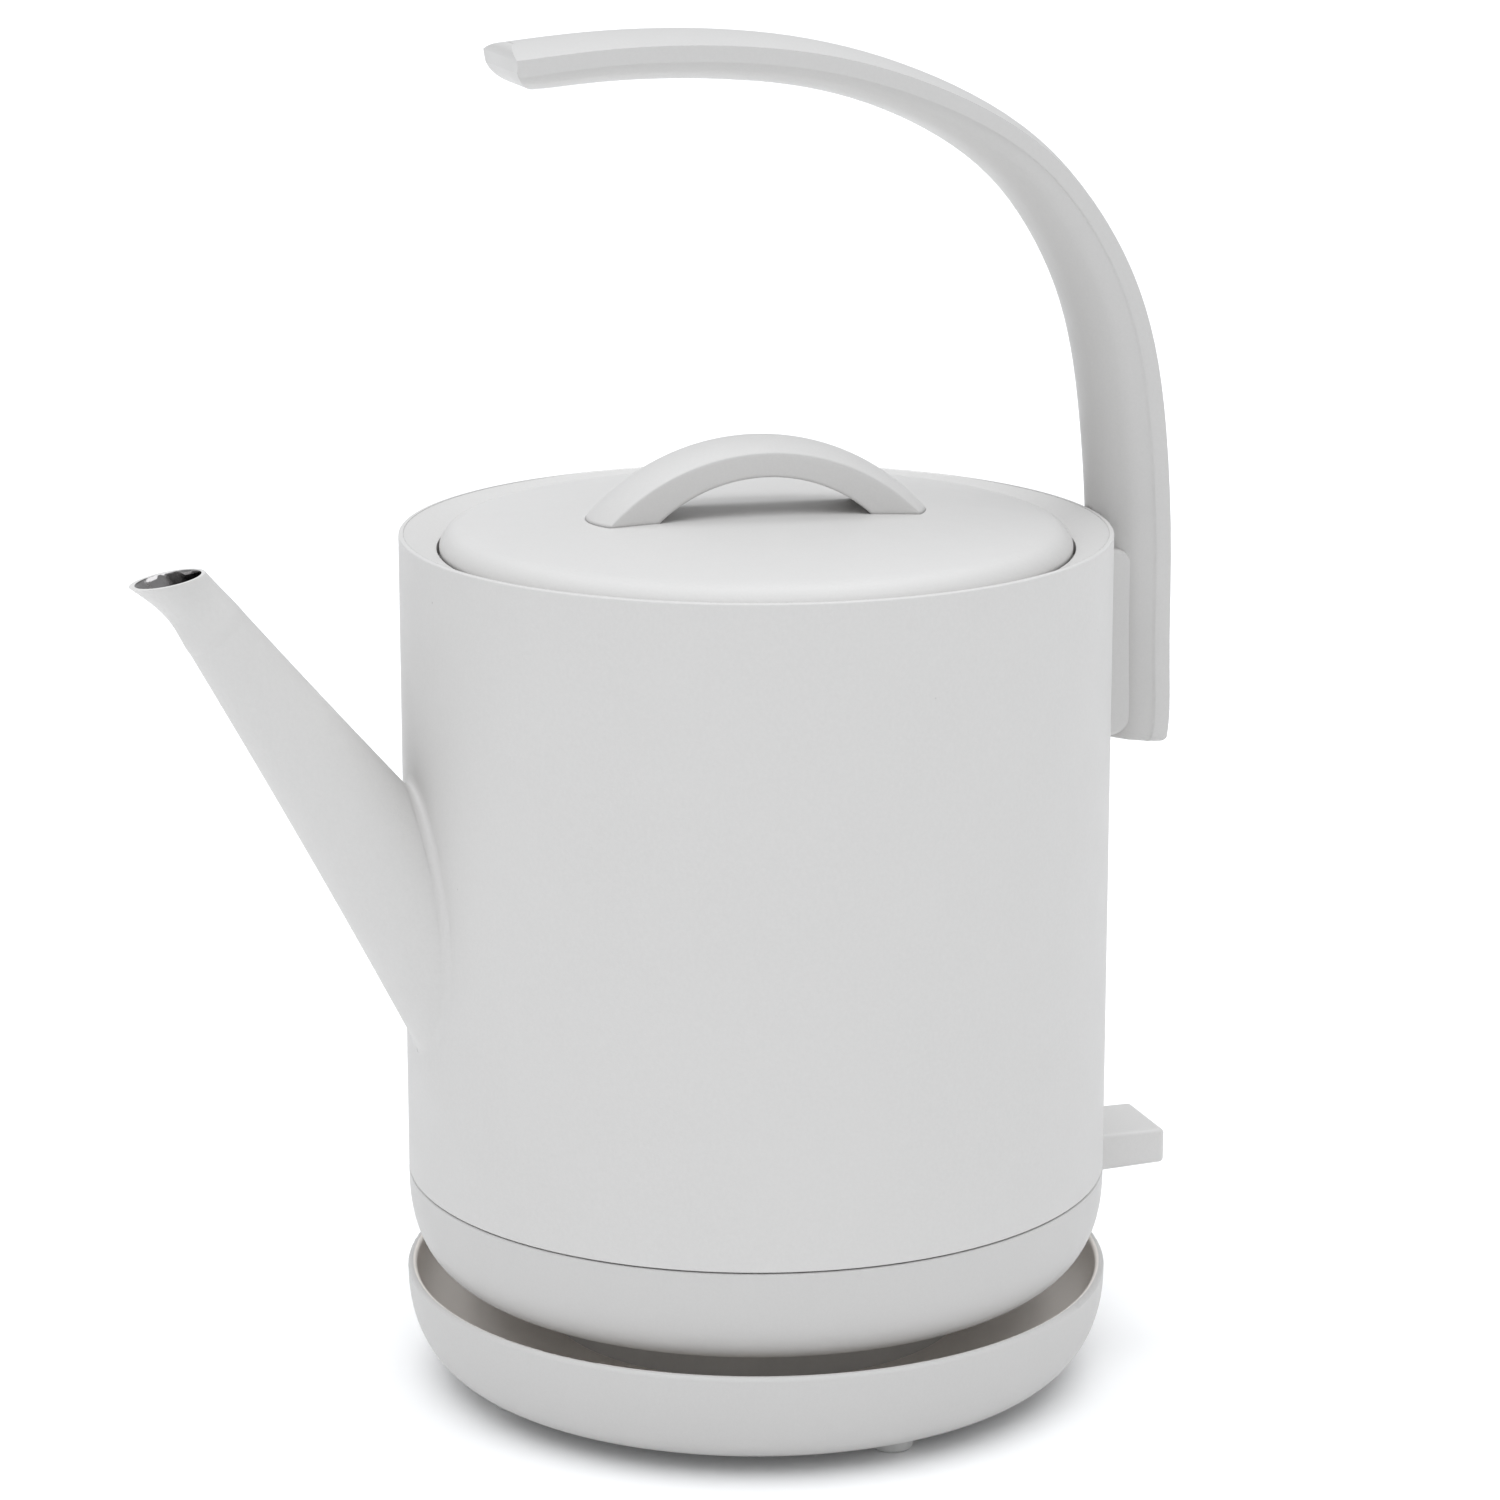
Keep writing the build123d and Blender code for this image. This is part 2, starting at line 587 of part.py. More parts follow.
def base_tray():
    """Dish with a thin upright lip, a raised middle and a round boss for the socket."""
    lip_in = TRAY_R - TRAY_LIP_T
    outer = rounded_under(TRAY_R, LIP_Z - 0.9, TRAY_FLAT_R, FOOT_H, TRAY_SQUARENESS)
    inner = rounded_under(lip_in, LIP_Z - 0.9, 57.0, TRAY_FLOOR_Z, TRAY_SQUARENESS)
    outer_curve = Spline(*outer, tangents=[(0, 0, -1), (-1, 0, 0)])
    inner_curve = Spline(*inner, tangents=[(0, 0, -1), (-1, 0, 0)])
    lip = ThreePointArc(outer_curve @ 0, ((TRAY_R + lip_in) / 2, 0, LIP_Z), inner_curve @ 0)
    middle = Polyline(inner_curve @ 1, (PLATEAU_R + 1.0, 0, TRAY_FLOOR_Z), (PLATEAU_R, 0, PLATEAU_Z),
                      (BOSS_R + 0.6, 0, PLATEAU_Z), (BOSS_R, 0, BOSS_Z), (SOCKET_R + 0.1, 0, BOSS_Z),
                      (SOCKET_R + 0.1, 0, 12.0), (BOSS_R - 2.6, 0, 12.0), (BOSS_R - 2.6, 0, PLATEAU_Z - 2.2),
                      (PLATEAU_R - 2.2, 0, PLATEAU_Z - 2.2), (PLATEAU_R - 1.4, 0, TRAY_FLOOR_Z - 2.2),
                      (48.5, 0, TRAY_FLOOR_Z - 2.2), (48.5, 0, FOOT_H + BASE_PLATE_T),
                      (BASE_PLATE_R + 0.1, 0, FOOT_H + BASE_PLATE_T), (BASE_PLATE_R + 0.1, 0, FOOT_H),
                      outer_curve @ 1)
    tray = revolve(make_face([outer_curve, lip, inner_curve, middle]), Axis.Z)
    tray += around(cylinder(3.6, FOOT_H + BASE_PLATE_T, PLATEAU_Z - 1, 36.0), base_screw_angles())
    tray -= around(cylinder(1.5, 0, 17.0, 36.0), base_screw_angles())
    tray -= around(cylinder(FOOT_R + 0.1, 0, FOOT_H + 1.2, FOOT_CIRCLE_R), foot_angles())
    tray -= Rot(0, 0, GLAND_ANGLE) * radial_rod(3.4, 44.0, 80.0, GLAND_Z)
    tray -= Rot(0, 0, GLAND_ANGLE) * radial_rod(GLAND_R + 0.1, 61.0, 80.0, GLAND_Z)
    return tray


def foot_angles():
    """The four feet stand midway between the cord outlet's quarters."""
    return [GLAND_ANGLE + 45 + 90 * i for i in range(4)]


def base_screw_angles():
    """Three screws of the bottom plate."""
    return [GLAND_ANGLE + 60 + 120 * i for i in range(3)]


def base_plate():
    """Flat plate that closes the base from below."""
    plate = cylinder(BASE_PLATE_R, FOOT_H, FOOT_H + BASE_PLATE_T)
    plate -= around(cylinder(1.7, 0, 10, 36.0), base_screw_angles())
    plate -= around(cylinder(3.1, 0, FOOT_H + 1.0, 36.0), base_screw_angles())
    plate -= [Pos(0, y, 0) * Box(22.0, 1.6, 20.0) for y in (-9, -3, 3, 9)]
    return plate


def base_screws():
    """Screws of the bottom plate."""
    screw = cylinder(2.9, FOOT_H + 0.1, FOOT_H + 1.0, 36.0) + cylinder(1.45, FOOT_H + 0.9, 15.0, 36.0)
    return solids(around(screw, base_screw_angles()))


def base_feet():
    """Four soft round feet set in the bottom of the tray."""
    foot = cylinder(FOOT_R, 0, FOOT_H + 1.2, FOOT_CIRCLE_R)
    foot = fillet(foot.edges().group_by(Axis.Z)[0], 0.9)
    return solids(around(foot, foot_angles()))


def cord_gland():
    """Sleeve through the wall of the tray where a mains cord would leave."""
    sleeve = radial_rod(GLAND_R, 61.1, 80.0, GLAND_Z) - radial_rod(CORD_HOLE_R, 55.0, 85.0, GLAND_Z)
    outer = rounded_under(TRAY_R + 1.2, LIP_Z - 0.9, TRAY_FLAT_R + 1.2, FOOT_H + 0.2, TRAY_SQUARENESS)
    limit_curve = Spline(*outer, tangents=[(0, 0, -1), (-1, 0, 0)])
    closing = Polyline(limit_curve @ 1, (0, 0, FOOT_H + 0.2), (0, 0, LIP_Z - 0.9), limit_curve @ 0)
    limit = revolve(make_face([limit_curve, closing]), Axis.Z)
    return solids((Rot(0, 0, GLAND_ANGLE) * sleeve) & limit)


def cord_clamp():
    """Strap on two posts that would grip the cord inside the base."""
    strap = block(31.0, 37.0, -9.0, 9.0, 12.2, 14.2)
    posts = block(31.5, 36.5, -9.0, -5.2, 4.4, 12.4) + block(31.5, 36.5, 5.2, 9.0, 4.4, 12.4)
    return Rot(0, 0, GLAND_ANGLE) * (strap + posts)


def base_socket():
    """Round socket in the boss with a centre hole and one ring-shaped slot."""
    socket = cylinder(SOCKET_R, 10.0, BOSS_Z - 0.3)
    socket = chamfer(socket.edges().group_by(Axis.Z)[-1], 0.5)
    socket -= tube(SLOT_OUT_R, SLOT_IN_R, SLOT_Z, BOSS_Z + 5)
    socket -= cylinder(3.0, SLOT_Z, BOSS_Z + 5)
    socket += tube(BOSS_R - 2.8, 12.0, 8.4, 11.9)
    return socket


def socket_contacts():
    """Terminal tabs that leave the socket from below."""
    tabs = [block(x - 0.4, x + 0.4, -3.0, 3.0, 5.2, 8.3) for x in (13.0, 16.0, 19.0)]
    return solids([Rot(0, 0, GLAND_ANGLE) * t for t in tabs])


def socket_shutter():
    """Loose ring in the slot that turns with the kettle's plug."""
    return tube(SLOT_OUT_R - 0.2, SLOT_IN_R + 0.2, SLOT_Z + 0.2, SPIGOT_Z - 0.3)


PIECES = (
    body_shell, rim_collar, spout, handle, handle_bracket, handle_screws, screw_plugs, lower_cover,
    cover_screws, heating_plate, heat_diffuser, heating_element, element_terminals, steam_tube,
    control_body, bimetal_disc, kettle_connector, connector_pins, lever_pin, rocker_pin, switch_lever,
    trip_rocker, lid_shell, lid_inner_plate, lid_seal, lid_knob, knob_screws, base_tray, base_plate,
    base_screws, base_feet, cord_gland, cord_clamp, base_socket, socket_contacts, socket_shutter,
)
os.makedirs("parts", exist_ok=True)
for piece in PIECES:
    export_step(solids(piece(), ORIGIN_SHIFT), f"parts/{piece.__name__}.step")
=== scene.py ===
"""Looks of a cordless electric kettle on its power base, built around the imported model."""
import json
import math

import bmesh
import bpy
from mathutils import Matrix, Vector


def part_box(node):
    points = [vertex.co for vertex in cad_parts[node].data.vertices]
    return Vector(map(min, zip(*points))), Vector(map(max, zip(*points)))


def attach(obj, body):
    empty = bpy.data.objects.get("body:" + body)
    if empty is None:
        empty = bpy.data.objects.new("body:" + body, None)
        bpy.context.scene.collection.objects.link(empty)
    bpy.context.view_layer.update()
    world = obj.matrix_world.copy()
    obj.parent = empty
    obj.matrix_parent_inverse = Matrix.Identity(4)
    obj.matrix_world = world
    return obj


MM = 0.001

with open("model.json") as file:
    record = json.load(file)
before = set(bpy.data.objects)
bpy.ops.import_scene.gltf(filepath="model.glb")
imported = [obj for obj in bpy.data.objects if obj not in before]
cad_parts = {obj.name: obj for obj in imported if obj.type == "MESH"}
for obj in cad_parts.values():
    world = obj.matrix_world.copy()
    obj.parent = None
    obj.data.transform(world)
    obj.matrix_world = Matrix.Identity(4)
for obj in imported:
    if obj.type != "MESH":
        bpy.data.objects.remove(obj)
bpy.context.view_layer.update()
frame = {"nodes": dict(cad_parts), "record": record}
slot_of = {part["node"]: part["material_slot"] for part in frame["record"]["subparts"]}

# ---- places read from the frame
shell_low, shell_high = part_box("body_shell")
AXIS_X = (shell_low.x + shell_high.x) / 2
BODY_R = (shell_high.x - shell_low.x) / 2
RIM_Z = shell_high.z

# ---- extra pieces: thin skins of bare steel, and the weld round the spout's root
JOIN_WITHIN = 0.002 * MM
SKIN_GAP = 0.06 * MM
SKIN_T = 0.04 * MM
SKIN_FACING = -0.5
ON_SHELL_WITHIN = 0.06 * MM
MOUTH_BAND = 6.0 * MM
ROOT_BAND = 0.5 * MM
WELD_REACH = 1.6 * MM
WELD_REACH_TOP = 2.2 * MM
WELD_SINK = 0.02 * MM
WELD_ROOT_IN = 0.4 * MM
WELD_ROOT_UNDER = 0.3 * MM
WELD_STEPS = 6

# ---- finishes: the tint shared by every off-white surface, dust, and painted bounce light inside the dish
WARM = (1.014, 1.0, 0.982)
DUST_SPACING = 11.0 * MM
DUST_R = 0.28 * MM
DISH_PAINTED_LIGHT = (0.94, 0.89, 0.84)
DISH_LIP = 1.0 * MM
DISH_LIP_EDGE = 0.3 * MM
DISH_FACING = 2.0 * MM
KNOB_EDGE = 1.1 * MM
OTHER_FINISH = {"lid_knob": "knob_plastic", "switch_lever": "knob_plastic", "rim_collar": "collar_painted_light",
                "base_tray": "tray_plastic"}

# ---- camera: seen from the spout's side, a little above the rim
CAMERA_AZIMUTH = math.radians(-18.0)
CAMERA_DISTANCE = 1.00537
CAMERA_ABOVE_RIM = 0.20154
CAMERA_DOWN = math.radians(13.934)
CAMERA_PAN = math.radians(0.0745)
CAMERA_LENS = 117.1
CAMERA_SENSOR = 36.0
CAMERA_NEAR = 0.05

# ---- light: slightly cool, so that the warm whites look neutral where it falls on them directly
COOL = (0.985, 1.0, 1.02)
TENT_STRENGTH = 0.54
OVERHEAD_STRENGTH = 0.84
OVERHEAD_SPREAD = math.radians(80.0)
OVERHEAD_FROM = Vector((-0.06, -0.10, 1.0))
FLOOR_GLOW = 0.02
FLOOR_HALF = 14.0


# ---------------------------------------------------------------- stage

def make_camera():
    """The camera, aimed at the kettle's axis and tilted down."""
    data = bpy.data.cameras.new("camera")
    data.lens = CAMERA_LENS
    data.sensor_width = CAMERA_SENSOR
    data.clip_start = CAMERA_NEAR
    camera = bpy.data.objects.new("camera", data)
    bpy.context.scene.collection.objects.link(camera)
    camera.location = (AXIS_X + CAMERA_DISTANCE * math.sin(CAMERA_AZIMUTH),
                       -CAMERA_DISTANCE * math.cos(CAMERA_AZIMUTH), RIM_Z + CAMERA_ABOVE_RIM)
    heading = CAMERA_AZIMUTH + CAMERA_PAN
    camera.rotation_euler = (math.pi / 2 - CAMERA_DOWN, 0.0, heading)
    bpy.context.scene.camera = camera


def make_overhead_light():
    """One very wide soft light from above, leaning a little towards the camera's left."""
    data = bpy.data.lights.new("overhead", "SUN")
    data.energy = OVERHEAD_STRENGTH * math.pi
    data.angle = OVERHEAD_SPREAD
    data.color = COOL
    light = bpy.data.objects.new("overhead", data)
    bpy.context.scene.collection.objects.link(light)
    light.rotation_euler = OVERHEAD_FROM.to_track_quat("Z", "Y").to_euler()


def make_world():
    """Even light from all round, as in a white tent."""
    world = bpy.data.worlds.new("tent")
    bpy.context.scene.world = world
    world.use_nodes = True
    background = world.node_tree.nodes["Background"]
    background.inputs["Color"].default_value = (*COOL, 1.0)
    background.inputs["Strength"].default_value = TENT_STRENGTH


def make_floor():
    """A large pale floor at table height."""
    mesh = bpy.data.meshes.new("floor")
    corners = [(x * FLOOR_HALF, y * FLOOR_HALF, 0) for x, y in ((-1, -1), (1, -1), (1, 1), (-1, 1))]
    mesh.from_pydata(corners, [], [(0, 1, 2, 3)])
    floor = bpy.data.objects.new("floor", mesh)
    bpy.context.scene.collection.objects.link(floor)
    mesh.materials.append(floor_paper())


# ---------------------------------------------------------------- materials

class Shader:
    """A material's node tree with short helpers for procedural detail."""

    def __init__(self, name):
        self.material = bpy.data.materials.new(name)
        self.material.use_nodes = True
        self.nodes = self.material.node_tree.nodes
        self.links = self.material.node_tree.links
        self.surface = self.nodes["Principled BSDF"]
        coordinates = self.nodes.new("ShaderNodeTexCoord")
        self.place = coordinates.outputs["Object"]
        self.normal = coordinates.outputs["Normal"]

    def set(self, **values):
        """Sets the surface's own values, with _ for each space in a name."""
        for socket, value in values.items():
            self.surface.inputs[socket.replace("_", " ")].default_value = value

    def stretched(self, scale):
        """Coordinates scaled by a different amount along each axis."""
        mapping = self.nodes.new("ShaderNodeMapping")
        mapping.inputs["Scale"].default_value = scale
        self.links.new(self.place, mapping.inputs["Vector"])
        return mapping.outputs["Vector"]

    def noise(self, size, detail=3.0, roughness=0.55, place=None):
        """Cloudy noise with features of the given size in metres."""
        node = self.nodes.new("ShaderNodeTexNoise")
        node.inputs["Scale"].default_value = 1.0 / size
        node.inputs["Detail"].default_value = detail
        node.inputs["Roughness"].default_value = roughness
        self.links.new(place or self.place, node.inputs["Vector"])
        return node.outputs["Fac"]

    def spread(self, value, low, high, from_low=0.3, from_high=0.7):
        """Maps noise to a range."""
        node = self.nodes.new("ShaderNodeMapRange")
        limits = {"From Min": from_low, "From Max": from_high, "To Min": low, "To Max": high}
        for socket, number in limits.items():
            node.inputs[socket].default_value = number
        self.links.new(value, node.inputs["Value"])
        return node.outputs["Result"]

    def mix(self, factor, first, second):
        """Blend of two colours, either of which may be a socket."""
        node = self.nodes.new("ShaderNodeMix")
        node.data_type = "RGBA"
        self.links.new(factor, node.inputs["Factor"])
        for name, value in (("A", first), ("B", second)):
            socket = next(s for s in node.inputs if s.name == name and s.type == "RGBA")
            if isinstance(value, tuple):
                socket.default_value = (*value, 1.0)
            else:
                self.links.new(value, socket)
        return next(s for s in node.outputs if s.type == "RGBA")

    def vector_math(self, operation, first, second):
        """Result of a vector operation on a socket and another socket or fixed vector."""
        node = self.nodes.new("ShaderNodeVectorMath")
        node.operation = operation
        self.links.new(first, node.inputs[0])
        if isinstance(second, tuple):
            node.inputs[1].default_value = second
        else:
            self.links.new(second, node.inputs[1])
        return node.outputs["Vector" if operation == "SUBTRACT" else "Value"]

    def times(self, first, second):
        """Product of two sockets."""
        node = self.nodes.new("ShaderNodeMath")
        node.operation = "MULTIPLY"
        self.links.new(first, node.inputs[0])
        self.links.new(second, node.inputs[1])
        return node.outputs["Value"]

    def specks(self, spacing, radius):
        """1 inside a few tiny dots, about one for each stretch of the given spacing, and 0 elsewhere."""
        node = self.nodes.new("ShaderNodeTexVoronoi")
        node.inputs["Scale"].default_value = 1.0 / spacing
        self.links.new(self.place, node.inputs["Vector"])
        dot = self.spread(node.outputs["Distance"], 1, 0, radius / spacing * 0.5, radius / spacing)
        some = self.spread(self.noise(spacing * 1.3, 1.0), 0, 1, 0.52, 0.60)
        return self.times(dot, some)

    def soft_edges(self, radius):
        """Normals that run smoothly round crisp edges, as on a moulded piece."""
        node = self.nodes.new("ShaderNodeBevel")
        node.samples = 8
        node.inputs["Radius"].default_value = radius
        return node.outputs["Normal"]

    def bump(self, height, depth, before=None):
        """Raises the surface by up to depth metres."""
        node = self.nodes.new("ShaderNodeBump")
        node.inputs["Strength"].default_value = 1.0
        node.inputs["Distance"].default_value = depth
        self.links.new(height, node.inputs["Height"])
        if before is not None:
            self.links.new(before, node.inputs["Normal"])
        return node.outputs["Normal"]

    def link(self, value, socket):
        """Feeds a value to the surface."""
        self.links.new(value, self.surface.inputs[socket])


def floor_paper():
    """Matte white sweep with a barely visible tooth."""
    s = Shader("floor_paper")
    s.link(s.mix(s.spread(s.noise(0.09), 0, 1), (0.96, 0.96, 0.96), (0.98, 0.98, 0.98)), "Base Color")
    s.link(s.spread(s.noise(0.004), 0.85, 0.95), "Roughness")
    s.set(Specular_IOR_Level=0.1, Emission_Color=(*COOL, 1.0), Emission_Strength=FLOOR_GLOW)
    return s.material


def shade(colour, factor):
    """The colour, darkened or lightened evenly."""
    return tuple(c * factor for c in colour)


def coated_shader(name, white, grain, depth, rough, edge=0.0):
    """Painted or moulded off-white surface: cloudy tone, fine grain, uneven sheen and a few dust specks."""
    s = Shader(name)
    colour = shade(WARM, white)
    cloud = s.spread(s.noise(0.045, 2.0), 0, 1)
    tone = s.mix(cloud, shade(colour, 0.988), shade(colour, 1.004))
    speckle = s.spread(s.noise(grain * 1.7, 4.0, 0.7), 0, 1, 0.35, 0.75)
    grained = s.mix(speckle, tone, shade(colour, 1.034))
    tone = s.mix(s.specks(DUST_SPACING, DUST_R), grained, shade(colour, 0.76))
    s.link(tone, "Base Color")
    s.link(s.spread(s.noise(0.012, 4.0), rough - 0.05, rough + 0.05), "Roughness")
    fine = s.bump(s.noise(grain, 5.0, 0.6), depth, s.soft_edges(edge) if edge else None)
    s.link(s.bump(s.noise(grain * 9, 2.0), depth * 0.9, fine), "Normal")
    s.set(Specular_IOR_Level=0.35)
    return s, tone


def coated(name, white, grain, depth, rough, edge=0.0):
    """Material of an off-white surface of the given whiteness, grain size, grain depth and roughness."""
    return coated_shader(name, white, grain, depth, rough, edge)[0].material


def painted_steel():
    return coated("painted_steel", 0.578, 0.00045, 0.000035, 0.55)


def handle_plastic():
    return coated("handle_plastic", 0.535, 0.00030, 0.000010, 0.42)


def white_plastic():
    return coated("white_plastic", 0.532, 0.00032, 0.000014, 0.48)


# painted light: the body's paint made whiter, to lift the shade that lid and rim throw on the collar
def collar_painted_light():
    return coated("collar_painted_light", 0.596, 0.00045, 0.000035, 0.55)


def tray_plastic():
    """The white plastic, with painted light inside the dish: paler and warmer on the faces turned up towards
    the kettle and on the lip's inner half.
    """
    low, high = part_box("base_tray")
    s, tone = coated_shader("tray_plastic", 0.535, 0.00032, 0.000014, 0.48)
    radius = s.vector_math("DISTANCE", s.stretched((1.0, 1.0, 0.0)), (AXIS_X, 0.0, 0.0))
    dish_r = (high.x - low.x) / 2 - DISH_LIP
    within = s.spread(radius, 1, 0, dish_r - DISH_LIP_EDGE, dish_r)
    from_above = s.vector_math("SUBTRACT", s.place, (AXIS_X, 0.0, RIM_Z))
    towards = s.vector_math("DOT_PRODUCT", from_above, s.normal)
    facing = s.spread(towards, 1, 0, -DISH_FACING, DISH_FACING)
    # painted light: the dish's faces turned towards the kettle and the lip's inner half get the paler,
    # warmer colour
    s.link(s.mix(s.times(within, facing), tone, DISH_PAINTED_LIGHT), "Base Color")
    return s.material


def lid_plastic():
    return coated("lid_plastic", 0.598, 0.00030, 0.000008, 0.46)


def knob_plastic():
    return coated("knob_plastic", 0.61, 0.00030, 0.000008, 0.42, KNOB_EDGE)


def base_plastic():
    return coated("base_plastic", 0.49, 0.00032, 0.000014, 0.52)


def foot_rubber():
    s = Shader("foot_rubber")
    s.link(s.mix(s.spread(s.noise(0.003), 0, 1), (0.55, 0.55, 0.54), (0.62, 0.62, 0.61)), "Base Color")
    s.link(s.spread(s.noise(0.0011), 0.55, 0.7), "Roughness")
    s.link(s.bump(s.noise(0.0006), 0.00001), "Normal")
    return s.material


def metal(name, colour, streak, rough, depth, scale=(1, 1, 1)):
    """Metal with fine directional marks."""
    s = Shader(name)
    lines = s.noise(streak, 4.0, 0.65, s.stretched(scale))
    s.link(s.mix(s.spread(lines, 0, 1), shade(colour, 0.86), colour), "Base Color")
    s.link(s.spread(lines, rough - 0.07, rough + 0.07), "Roughness")
    s.link(s.bump(lines, depth), "Normal")
    s.set(Metallic=1.0)
    return s.material


def polished_steel():
    return metal("polished_steel", (0.36, 0.35, 0.35), 0.0007, 0.16, 0.000012, (1, 1, 0.5))


def brushed_steel():
    return metal("brushed_steel", (0.60, 0.59, 0.58), 0.0005, 0.30, 0.000004, (1, 1, 0.06))


def diffuser_aluminium():
    return metal("diffuser_aluminium", (0.72, 0.72, 0.73), 0.0006, 0.38, 0.000005, (0.08, 1, 1))


def heater_sheath():
    return metal("heater_sheath", (0.36, 0.33, 0.30), 0.0012, 0.45, 0.000008)


def contact_brass():
    return metal("contact_brass", (0.72, 0.53, 0.25), 0.0006, 0.32, 0.000003, (1, 1, 0.1))


def bimetal():
    return metal("bimetal", (0.56, 0.52, 0.46), 0.0005, 0.35, 0.000003, (0.1, 1, 1))


def screw_steel():
    return metal("screw_steel", (0.58, 0.58, 0.60), 0.0004, 0.32, 0.000004, (1, 1, 0.2))


def dark_plastic():
    s = Shader("dark_plastic")
    s.link(s.mix(s.spread(s.noise(0.008), 0, 1), (0.018, 0.018, 0.019), (0.030, 0.030, 0.031)), "Base Color")
    s.link(s.spread(s.noise(0.0015), 0.42, 0.58), "Roughness")
    s.link(s.bump(s.noise(0.0005, 4.0), 0.00001), "Normal")
    return s.material


def seal_silicone():
    s = Shader("seal_silicone")
    s.link(s.mix(s.spread(s.noise(0.005), 0, 1), (0.55, 0.55, 0.54), (0.64, 0.64, 0.63)), "Base Color")
    s.link(s.spread(s.noise(0.001), 0.4, 0.5), "Roughness")
    s.link(s.bump(s.noise(0.0008), 0.000008), "Normal")
    return s.material


# ---------------------------------------------------------------- pieces

def new_piece(name, mesh, material, body):
    """Links a finished mesh as a piece that rides on a CAD body."""
    mesh.materials.append(material)
    for polygon in mesh.polygons:
        polygon.use_smooth = True
    piece = bpy.data.objects.new(name, mesh)
    bpy.context.scene.collection.objects.link(piece)
    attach(piece, body)
    return piece


def welded_copy(node):
    """A bmesh of a CAD node with its split vertices joined."""
    mesh = bmesh.new()
    mesh.from_mesh(frame["nodes"][node].data)
    bmesh.ops.remove_doubles(mesh, verts=mesh.verts, dist=JOIN_WITHIN)
    mesh.normal_update()
    return mesh


def bare_steel_skin(name, node, axis_point, axis_direction):
    """Thin skin of bare steel on the faces of a tube-like node that look towards its axis."""
    mesh = welded_copy(node)
    outer = []
    for face in mesh.faces:
        offset = face.calc_center_median() - axis_point
        radial = offset - axis_direction * offset.dot(axis_direction)
        if radial.normalized().dot(face.normal) > SKIN_FACING:
            outer.append(face)
    bmesh.ops.delete(mesh, geom=outer, context="FACES")
    mesh.normal_update()
    lift = {vertex: vertex.normal.copy() for vertex in mesh.verts}
    for vertex, normal in lift.items():
        vertex.co += normal * SKIN_GAP
    inner = list(mesh.faces)
    backs = bmesh.ops.duplicate(mesh, geom=mesh.verts[:] + mesh.edges[:] + inner)
    mirror = {old: new for old, new in backs["vert_map"].items() if old in lift}
    for old, new in mirror.items():
        new.co = old.co - lift[old] * SKIN_T
    bmesh.ops.reverse_faces(mesh, faces=[f for f in backs["geom"] if isinstance(f, bmesh.types.BMFace)])
    borders = [e for e in mesh.edges if e.is_boundary and e.verts[0] in mirror and e.verts[1] in mirror]
    for edge in borders:
        a, b = edge.verts
        if edge.link_loops[0].vert is a:
            a, b = b, a
        mesh.faces.new((a, b, mirror[b], mirror[a]))
    data = bpy.data.meshes.new(name)
    mesh.to_mesh(data)
    mesh.free()
    return data


def spout_axis():
    """Two points on the spout's centre line, read from its mouth and its root."""
    vertices = [v.co for v in frame["nodes"]["spout"].data.vertices]
    low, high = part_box("spout")
    mouth = [co for co in vertices if co.z > high.z - MOUTH_BAND]
    root = [co for co in vertices if co.x > high.x - ROOT_BAND]
    middle_z = (min(co.z for co in root) + max(co.z for co in root)) / 2
    mouth_x = (min(co.x for co in mouth) + max(co.x for co in mouth)) / 2
    return Vector((mouth_x, 0, high.z - MOUTH_BAND / 2)), Vector((high.x, 0, middle_z))


def root_loop():
    """Outer edge of the spout where it meets the shell, in order, with the spout's normal at each point."""
    mesh = welded_copy("spout")
    centre = spout_axis()[1]
    found = []
    for vertex in mesh.verts:
        x, y = vertex.co.x - AXIS_X, vertex.co.y
        if abs(math.hypot(x, y) - BODY_R) > ON_SHELL_WITHIN:
            continue
        normal = Vector((0, 0, 0))
        for face in vertex.link_faces:
            shell_like = abs(face.normal.dot(Vector((x, y, 0)).normalized())) > 0.97
            if not shell_like:
                normal += face.normal * face.calc_area()
        away = Vector((0, vertex.co.y, vertex.co.z - centre.z))
        if normal.length > 0 and normal.dot(away) > 0:
            turn = math.atan2(away.z, away.y)
            found.append((turn, vertex.co.copy(), normal.normalized()))
    mesh.free()
    found.sort(key=lambda item: item[0])
    return [(co, normal) for _, co, normal in found]


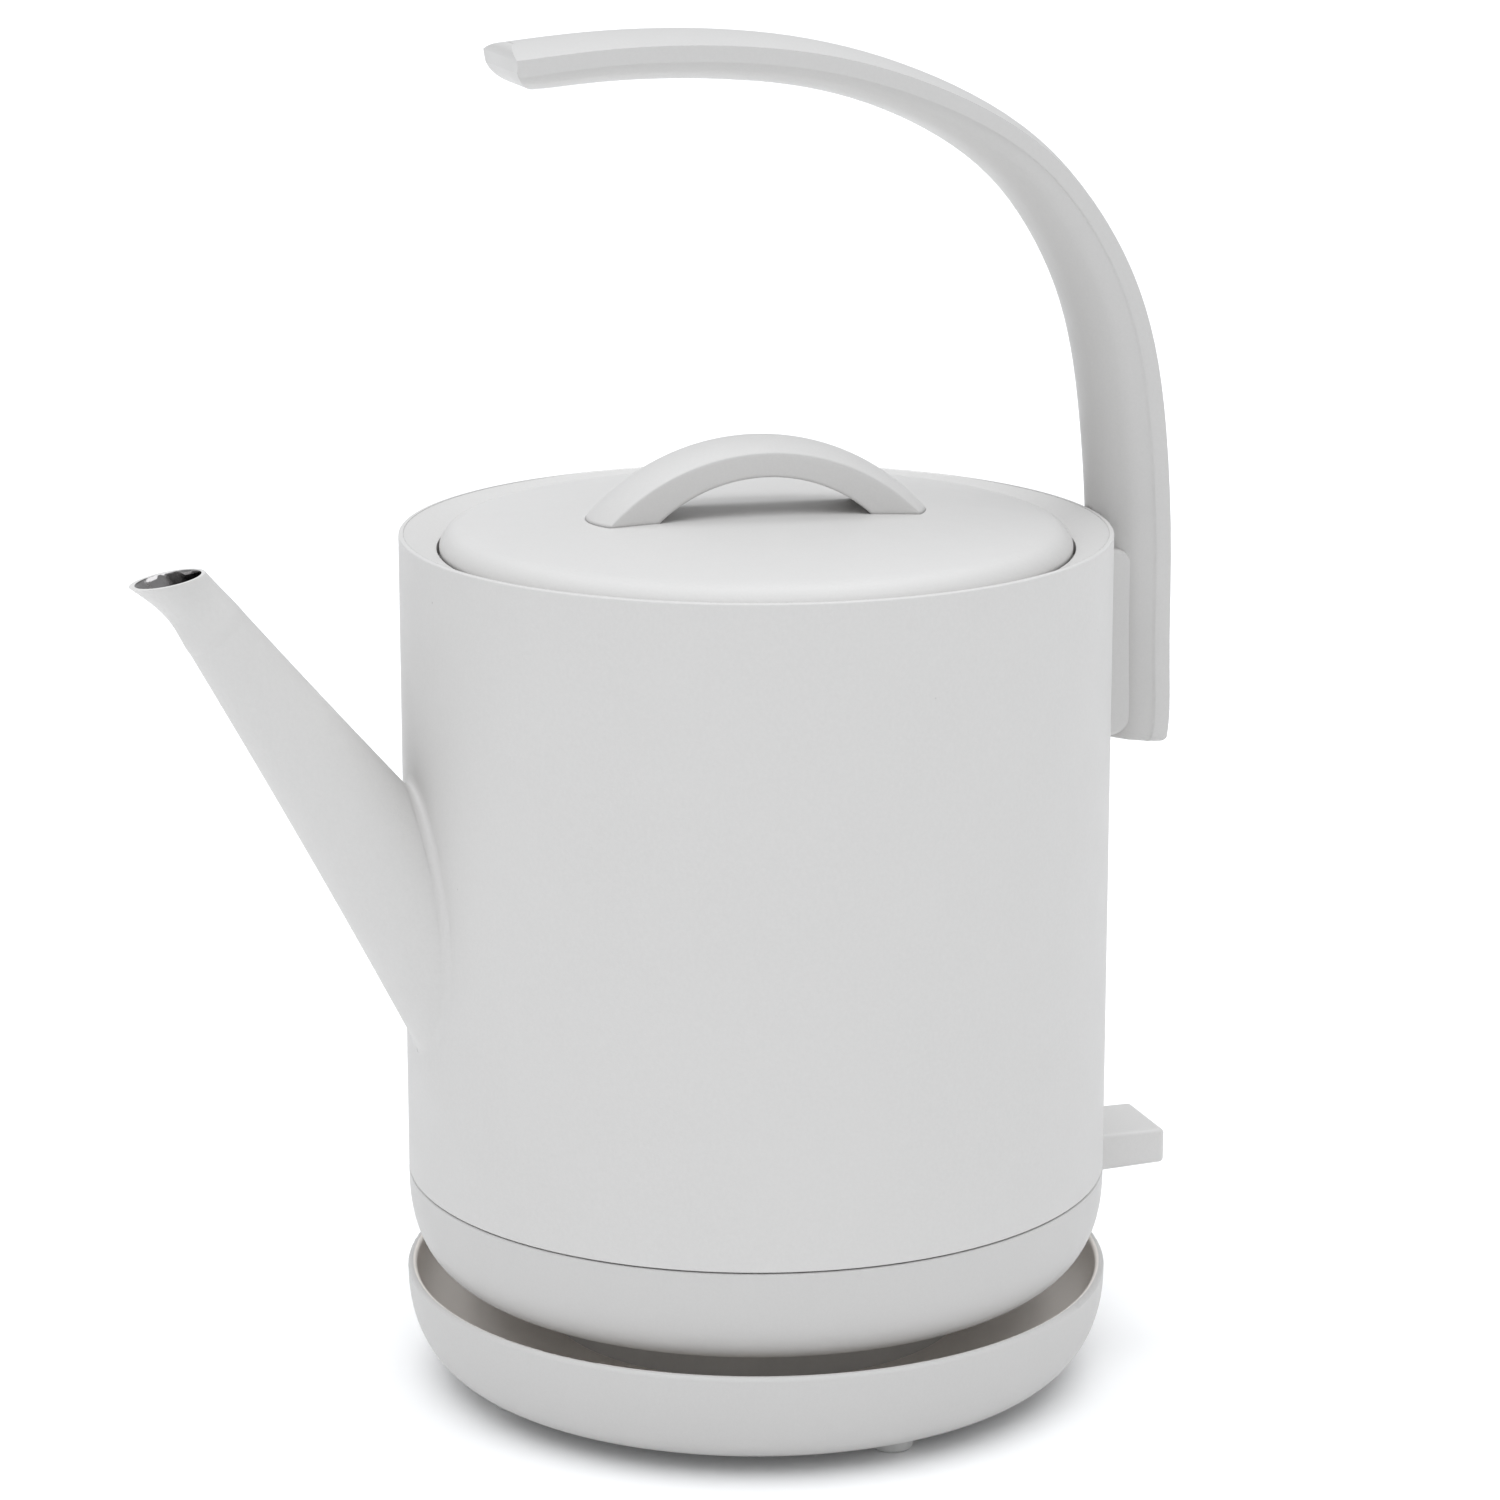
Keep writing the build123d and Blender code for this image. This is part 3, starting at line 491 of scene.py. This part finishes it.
def spout_weld():
    """Smoothed weld that runs the spout's root into the shell in a hollow curve."""
    loop = root_loop()
    count = len(loop)
    centre_z = sum(co.z for co, _ in loop) / count
    half_height = max(co.z for co, _ in loop) - centre_z
    mesh = bmesh.new()
    rings = []
    for i, (point, spout_normal) in enumerate(loop):
        along = (loop[(i + 1) % count][0] - loop[i - 1][0]).normalized()
        shell_normal = Vector((point.x - AXIS_X, point.y, 0)).normalized()
        out = along.cross(shell_normal).normalized()
        if out.dot(Vector((0, point.y, point.z - centre_z))) < 0:
            out = -out
        up = along.cross(spout_normal).normalized()
        if up.dot(shell_normal) < 0:
            up = -up
        lift = max(0.0, (point.z - centre_z) / half_height)
        reach = WELD_REACH + WELD_REACH_TOP * lift ** 3
        start = point + out * reach
        radial = Vector((start.x - AXIS_X, start.y, 0))
        start += radial.normalized() * (BODY_R - WELD_SINK - radial.length)
        end = point + up * reach - spout_normal * WELD_SINK
        ring = []
        for step in range(WELD_STEPS + 1):
            u = step / WELD_STEPS
            ring.append(mesh.verts.new(start * (1 - u) ** 2 + point * 2 * u * (1 - u) + end * u * u))
        ring.append(mesh.verts.new(point - shell_normal * WELD_ROOT_IN - spout_normal * WELD_ROOT_UNDER))
        rings.append(ring)
    for i in range(count):
        here, following = rings[i], rings[(i + 1) % count]
        for k in range(len(here)):
            m = (k + 1) % len(here)
            mesh.faces.new((here[k], here[m], following[m], following[k]))
    bmesh.ops.recalc_face_normals(mesh, faces=mesh.faces)
    for i in range(count):
        for k in (0, WELD_STEPS):
            mesh.edges.get((rings[i][k], rings[(i + 1) % count][k])).smooth = False
    data = bpy.data.meshes.new("spout_weld")
    mesh.to_mesh(data)
    mesh.free()
    return data


MATERIALS = (painted_steel, handle_plastic, white_plastic, lid_plastic, brushed_steel, diffuser_aluminium,
             heater_sheath, contact_brass, bimetal, screw_steel, dark_plastic, base_plastic, seal_silicone,
             foot_rubber, knob_plastic, polished_steel, collar_painted_light, tray_plastic)
made = {make.__name__: make() for make in MATERIALS}


def finish_cad_nodes():
    """Gives each carried-over node the detailed material of its slot."""
    for name, node in frame["nodes"].items():
        for material_slot in node.material_slots:
            material_slot.material = made[OTHER_FINISH.get(name, slot_of[name])]


make_camera()
make_world()
make_overhead_light()
make_floor()
finish_cad_nodes()

mouth_point, root_point = spout_axis()
liner = bare_steel_skin("spout_liner", "spout", root_point, (mouth_point - root_point).normalized())
new_piece("spout_liner", liner, made["polished_steel"], "kettle")
inside = bare_steel_skin("shell_liner", "body_shell", Vector((AXIS_X, 0, 0)), Vector((0, 0, 1)))
new_piece("shell_liner", inside, made["brushed_steel"], "kettle")
new_piece("spout_weld", spout_weld(), made["painted_steel"], "kettle")

bpy.context.scene.view_settings.view_transform = "Standard"
